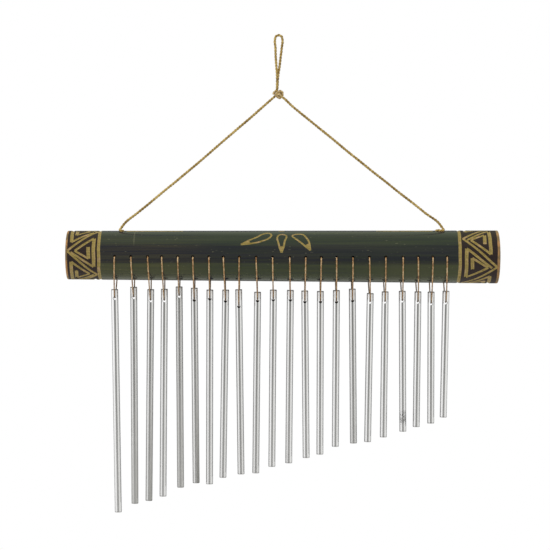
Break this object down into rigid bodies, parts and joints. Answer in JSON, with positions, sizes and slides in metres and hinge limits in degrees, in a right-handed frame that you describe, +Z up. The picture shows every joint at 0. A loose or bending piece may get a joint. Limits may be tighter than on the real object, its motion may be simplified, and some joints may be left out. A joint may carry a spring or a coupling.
{
  "type": "tubular wind chime",
  "caption": "Bar chime: a row of aluminium tubes of falling length on waxed thread loops under a stained, carved bamboo bar that hangs on a knotted twisted cord.",
  "frame": {"origin": "the hook point: the inside top of the hanger cord's finger loop, where a hook carries it", "axes": "+Z up, +X to the viewer's right along the bamboo bar towards the shortest tube, +Y away from the viewer"},
  "size_m": [0.3962, 0.0531, 0.4406],
  "materials": {
    "stained_bamboo": "dark green-black stain under gloss lacquer, carved lines cut through to pale gold wood",
    "drawn_aluminium": "bright drawn tube with fine lengthwise draw lines, ends rolled by a tube cutter",
    "waxed_thread": "copper-brown waxed twisted thread, satin",
    "twisted_cord": "olive-gold two-ply twisted cord, matt with fine fibres"
  },
  "bodies": {
    "hanger": {"hanger_cord": "twisted_cord"},
    "bar": {"bamboo_bar": "stained_bamboo"},
    "tie_01": {"thread_01": "waxed_thread"},
    "chime_01": {"tube_01": "drawn_aluminium"},
    "tie_02": {"thread_02": "waxed_thread"},
    "chime_02": {"tube_02": "drawn_aluminium"},
    "tie_03": {"thread_03": "waxed_thread"},
    "chime_03": {"tube_03": "drawn_aluminium"},
    "tie_04": {"thread_04": "waxed_thread"},
    "chime_04": {"tube_04": "drawn_aluminium"},
    "tie_05": {"thread_05": "waxed_thread"},
    "chime_05": {"tube_05": "drawn_aluminium"},
    "tie_06": {"thread_06": "waxed_thread"},
    "chime_06": {"tube_06": "drawn_aluminium"},
    "tie_07": {"thread_07": "waxed_thread"},
    "chime_07": {"tube_07": "drawn_aluminium"},
    "tie_08": {"thread_08": "waxed_thread"},
    "chime_08": {"tube_08": "drawn_aluminium"},
    "tie_09": {"thread_09": "waxed_thread"},
    "chime_09": {"tube_09": "drawn_aluminium"},
    "tie_10": {"thread_10": "waxed_thread"},
    "chime_10": {"tube_10": "drawn_aluminium"},
    "tie_11": {"thread_11": "waxed_thread"},
    "chime_11": {"tube_11": "drawn_aluminium"},
    "tie_12": {"thread_12": "waxed_thread"},
    "chime_12": {"tube_12": "drawn_aluminium"},
    "tie_13": {"thread_13": "waxed_thread"},
    "chime_13": {"tube_13": "drawn_aluminium"},
    "tie_14": {"thread_14": "waxed_thread"},
    "chime_14": {"tube_14": "drawn_aluminium"},
    "tie_15": {"thread_15": "waxed_thread"},
    "chime_15": {"tube_15": "drawn_aluminium"},
    "tie_16": {"thread_16": "waxed_thread"},
    "chime_16": {"tube_16": "drawn_aluminium"},
    "tie_17": {"thread_17": "waxed_thread"},
    "chime_17": {"tube_17": "drawn_aluminium"},
    "tie_18": {"thread_18": "waxed_thread"},
    "chime_18": {"tube_18": "drawn_aluminium"},
    "tie_19": {"thread_19": "waxed_thread"},
    "chime_19": {"tube_19": "drawn_aluminium"},
    "tie_20": {"thread_20": "waxed_thread"},
    "chime_20": {"tube_20": "drawn_aluminium"},
    "tie_21": {"thread_21": "waxed_thread"},
    "chime_21": {"tube_21": "drawn_aluminium"},
    "tie_22": {"thread_22": "waxed_thread"},
    "chime_22": {"tube_22": "drawn_aluminium"}
  },
  "joints": [
    {"name": "bar_rock", "type": "hinge", "parent": "hanger", "child": "bar", "pos_m": [0, -0.00372, -0.18123], "axis": [1, 0, 0], "range_deg": [-10, 10]},
    {"name": "swing_01", "type": "hinge", "parent": "bar", "child": "tie_01", "pos_m": [-0.1494, 0, -0.20163], "axis": [0, -1, 0], "range_deg": [-8, 2.2]},
    {"name": "rock_01", "type": "hinge", "parent": "tie_01", "child": "chime_01", "pos_m": [-0.15103, 0, -0.241], "axis": [1, 0, 0], "range_deg": [-5, 5]},
    {"name": "swing_02", "type": "hinge", "parent": "bar", "child": "tie_02", "pos_m": [-0.1345, 0, -0.2017], "axis": [0, -1, 0], "range_deg": [-2.2, 1.6]},
    {"name": "rock_02", "type": "hinge", "parent": "tie_02", "child": "chime_02", "pos_m": [-0.13356, 0, -0.24019], "axis": [1, 0, 0], "range_deg": [-5, 5]},
    {"name": "swing_03", "type": "hinge", "parent": "bar", "child": "tie_03", "pos_m": [-0.1193, 0, -0.20176], "axis": [0, -1, 0], "range_deg": [-1.6, 1.6]},
    {"name": "rock_03", "type": "hinge", "parent": "tie_03", "child": "chime_03", "pos_m": [-0.11799, 0, -0.24314], "axis": [1, 0, 0], "range_deg": [-5, 5]},
    {"name": "swing_04", "type": "hinge", "parent": "bar", "child": "tie_04", "pos_m": [-0.1065, 0, -0.20182], "axis": [0, -1, 0], "range_deg": [-1.6, 2.6]},
    {"name": "rock_04", "type": "hinge", "parent": "tie_04", "child": "chime_04", "pos_m": [-0.10539, 0, -0.24321], "axis": [1, 0, 0], "range_deg": [-5, 5]},
    {"name": "swing_05", "type": "hinge", "parent": "bar", "child": "tie_05", "pos_m": [-0.0918, 0, -0.20188], "axis": [0, -1, 0], "range_deg": [-2.6, 2.1]},
    {"name": "rock_05", "type": "hinge", "parent": "tie_05", "child": "chime_05", "pos_m": [-0.09171, 0, -0.23898], "axis": [1, 0, 0], "range_deg": [-5, 5]},
    {"name": "swing_06", "type": "hinge", "parent": "bar", "child": "tie_06", "pos_m": [-0.0781, 0, -0.20194], "axis": [0, -1, 0], "range_deg": [-2.1, 1.5]},
    {"name": "rock_06", "type": "hinge", "parent": "tie_06", "child": "chime_06", "pos_m": [-0.0777, 0, -0.24264], "axis": [1, 0, 0], "range_deg": [-5, 5]},
    {"name": "swing_07", "type": "hinge", "parent": "bar", "child": "tie_07", "pos_m": [-0.0635, 0, -0.20201], "axis": [0, -1, 0], "range_deg": [-1.5, 1.6]},
    {"name": "rock_07", "type": "hinge", "parent": "tie_07", "child": "chime_07", "pos_m": [-0.0634, 0, -0.24151], "axis": [1, 0, 0], "range_deg": [-5, 5]},
    {"name": "swing_08", "type": "hinge", "parent": "bar", "child": "tie_08", "pos_m": [-0.0504, 0, -0.20206], "axis": [0, -1, 0], "range_deg": [-1.6, 2.9]},
    {"name": "rock_08", "type": "hinge", "parent": "tie_08", "child": "chime_08", "pos_m": [-0.04898, 0, -0.24354], "axis": [1, 0, 0], "range_deg": [-5, 5]},
    {"name": "swing_09", "type": "hinge", "parent": "bar", "child": "tie_09", "pos_m": [-0.0359, 0, -0.20213], "axis": [0, -1, 0], "range_deg": [-2.9, 2]},
    {"name": "rock_09", "type": "hinge", "parent": "tie_09", "child": "chime_09", "pos_m": [-0.03669, 0, -0.24852], "axis": [1, 0, 0], "range_deg": [-5, 5]},
    {"name": "swing_10", "type": "hinge", "parent": "bar", "child": "tie_10", "pos_m": [-0.0206, 0, -0.20219], "axis": [0, -1, 0], "range_deg": [-2, 2.4]},
    {"name": "rock_10", "type": "hinge", "parent": "tie_10", "child": "chime_10", "pos_m": [-0.0195, 0, -0.24318], "axis": [1, 0, 0], "range_deg": [-5, 5]},
    {"name": "swing_11", "type": "hinge", "parent": "bar", "child": "tie_11", "pos_m": [-0.0056, 0, -0.20226], "axis": [0, -1, 0], "range_deg": [-2.4, 2.7]},
    {"name": "rock_11", "type": "hinge", "parent": "tie_11", "child": "chime_11", "pos_m": [-0.00501, 0, -0.24236], "axis": [1, 0, 0], "range_deg": [-5, 5]},
    {"name": "swing_12", "type": "hinge", "parent": "bar", "child": "tie_12", "pos_m": [0.01, 0, -0.20233], "axis": [0, -1, 0], "range_deg": [-2.7, 2.9]},
    {"name": "rock_12", "type": "hinge", "parent": "tie_12", "child": "chime_12", "pos_m": [0.01069, 0, -0.24252], "axis": [1, 0, 0], "range_deg": [-5, 5]},
    {"name": "swing_13", "type": "hinge", "parent": "bar", "child": "tie_13", "pos_m": [0.0246, 0, -0.20239], "axis": [0, -1, 0], "range_deg": [-2.9, 1.9]},
    {"name": "rock_13", "type": "hinge", "parent": "tie_13", "child": "chime_13", "pos_m": [0.02409, 0, -0.24409], "axis": [1, 0, 0], "range_deg": [-5, 5]},
    {"name": "swing_14", "type": "hinge", "parent": "bar", "child": "tie_14", "pos_m": [0.0387, 0, -0.20245], "axis": [0, -1, 0], "range_deg": [-1.9, 2.5]},
    {"name": "rock_14", "type": "hinge", "parent": "tie_14", "child": "chime_14", "pos_m": [0.03839, 0, -0.24415], "axis": [1, 0, 0], "range_deg": [-5, 5]},
    {"name": "swing_15", "type": "hinge", "parent": "bar", "child": "tie_15", "pos_m": [0.0526, 0, -0.20251], "axis": [0, -1, 0], "range_deg": [-2.5, 3.4]},
    {"name": "rock_15", "type": "hinge", "parent": "tie_15", "child": "chime_15", "pos_m": [0.05311, 0, -0.24431], "axis": [1, 0, 0], "range_deg": [-5, 5]},
    {"name": "swing_16", "type": "hinge", "parent": "bar", "child": "tie_16", "pos_m": [0.0675, 0, -0.20258], "axis": [0, -1, 0], "range_deg": [-3.4, 2.1]},
    {"name": "rock_16", "type": "hinge", "parent": "tie_16", "child": "chime_16", "pos_m": [0.06789, 0, -0.24318], "axis": [1, 0, 0], "range_deg": [-5, 5]},
    {"name": "swing_17", "type": "hinge", "parent": "bar", "child": "tie_17", "pos_m": [0.0824, 0, -0.20264], "axis": [0, -1, 0], "range_deg": [-2.1, 2.7]},
    {"name": "rock_17", "type": "hinge", "parent": "tie_17", "child": "chime_17", "pos_m": [0.08424, 0, -0.2446], "axis": [1, 0, 0], "range_deg": [-5, 5]},
    {"name": "swing_18", "type": "hinge", "parent": "bar", "child": "tie_18", "pos_m": [0.0973, 0, -0.20271], "axis": [0, -1, 0], "range_deg": [-2.7, 4]},
    {"name": "rock_18", "type": "hinge", "parent": "tie_18", "child": "chime_18", "pos_m": [0.09801, 0, -0.2444], "axis": [1, 0, 0], "range_deg": [-5, 5]},
    {"name": "swing_19", "type": "hinge", "parent": "bar", "child": "tie_19", "pos_m": [0.113, 0, -0.20278], "axis": [0, -1, 0], "range_deg": [-4, 2.1]},
    {"name": "rock_19", "type": "hinge", "parent": "tie_19", "child": "chime_19", "pos_m": [0.11389, 0, -0.24347], "axis": [1, 0, 0], "range_deg": [-5, 5]},
    {"name": "swing_20", "type": "hinge", "parent": "bar", "child": "tie_20", "pos_m": [0.1267, 0, -0.20284], "axis": [0, -1, 0], "range_deg": [-2.1, 2.5]},
    {"name": "rock_20", "type": "hinge", "parent": "tie_20", "child": "chime_20", "pos_m": [0.12823, 0, -0.24461], "axis": [1, 0, 0], "range_deg": [-5, 5]},
    {"name": "swing_21", "type": "hinge", "parent": "bar", "child": "tie_21", "pos_m": [0.1401, 0, -0.2029], "axis": [0, -1, 0], "range_deg": [-2.5, 1.9]},
    {"name": "rock_21", "type": "hinge", "parent": "tie_21", "child": "chime_21", "pos_m": [0.14041, 0, -0.24599], "axis": [1, 0, 0], "range_deg": [-5, 5]},
    {"name": "swing_22", "type": "hinge", "parent": "bar", "child": "tie_22", "pos_m": [0.153, 0, -0.20295], "axis": [0, -1, 0], "range_deg": [-1.9, 8]},
    {"name": "rock_22", "type": "hinge", "parent": "tie_22", "child": "chime_22", "pos_m": [0.15393, 0, -0.24514], "axis": [1, 0, 0], "range_deg": [-5, 5]}
  ]
}
